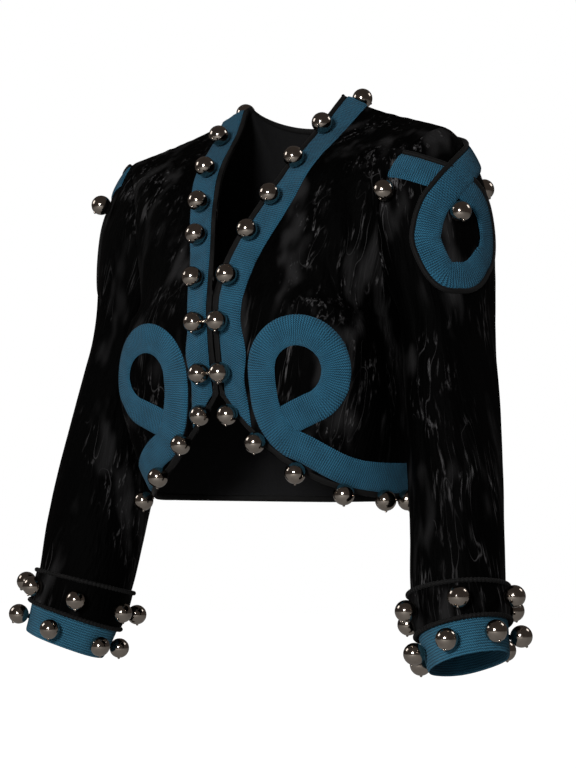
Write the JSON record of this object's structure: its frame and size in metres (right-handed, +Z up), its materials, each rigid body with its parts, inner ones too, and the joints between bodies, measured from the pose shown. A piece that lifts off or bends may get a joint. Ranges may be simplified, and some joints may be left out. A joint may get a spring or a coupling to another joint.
{
  "type": "cropped jacket",
  "caption": "Cropped velvet jacket with a round neck, open curved fronts, looped knit tape trim, knit cuffs and ball buttons, in its worn shape.",
  "frame": {"origin": "base of the neck, midway between the two shoulder seams, where the wearer's shoulders carry the jacket", "axes": "+Z up, -Y the way the wearer faces, +X to the wearer's left"},
  "size_m": [0.5967, 0.2613, 0.5949],
  "materials": {
    "velvet": "black crushed velvet with a short nap",
    "binding": "matt black folded binding",
    "knit_tape": "plain knit in dull blue wool",
    "chrome": "bright silver plate"
  },
  "bodies": {
    "root": {"back": "velvet", "back_hem_binding": "binding", "back_hem_tape": "knit_tape", "back_neck_ball_1_left": "chrome", "back_neck_ball_1_right": "chrome", "back_neck_ball_2_left": "chrome", "back_neck_ball_2_right": "chrome", "back_neck_binding": "binding", "back_neck_tape": "knit_tape", "closure_ball_1_left": "chrome", "closure_ball_1_right": "chrome", "closure_ball_2_left": "chrome", "closure_ball_2_right": "chrome", "closure_link_1": "chrome", "closure_link_2": "chrome", "edge_ball_1_left": "chrome", "edge_ball_1_right": "chrome", "edge_ball_2_left": "chrome", "edge_ball_2_right": "chrome", "edge_ball_3_left": "chrome", "edge_ball_3_right": "chrome", "edge_ball_4_left": "chrome", "edge_ball_4_right": "chrome", "edge_ball_5_left": "chrome", "edge_ball_5_right": "chrome", "front_binding_left": "binding", "front_binding_right": "binding", "front_edge_tape_left": "knit_tape", "front_edge_tape_right": "knit_tape", "front_left": "velvet", "front_loop_tape_left": "knit_tape", "front_loop_tape_right": "knit_tape", "front_right": "velvet", "hem_ball_1_left": "chrome", "hem_ball_1_right": "chrome", "hem_ball_2_left": "chrome", "hem_ball_2_right": "chrome", "hem_ball_3_left": "chrome", "hem_ball_3_right": "chrome", "hem_ball_4_left": "chrome", "hem_ball_4_right": "chrome", "hem_ball_5_left": "chrome", "hem_ball_6_left": "chrome", "knit_cuff_left": "knit_tape", "knit_cuff_right": "knit_tape", "shoulder_ball_1_left": "chrome", "shoulder_ball_1_right": "chrome", "shoulder_ball_2_left": "chrome", "shoulder_ball_2_right": "chrome", "shoulder_ball_3_left": "chrome", "shoulder_ball_3_right": "chrome", "shoulder_loop_left": "knit_tape", "shoulder_loop_right": "knit_tape", "sleeve_left": "velvet", "sleeve_right": "velvet", "velvet_band_left": "velvet", "velvet_band_right": "velvet"}
  },
  "joints": []
}
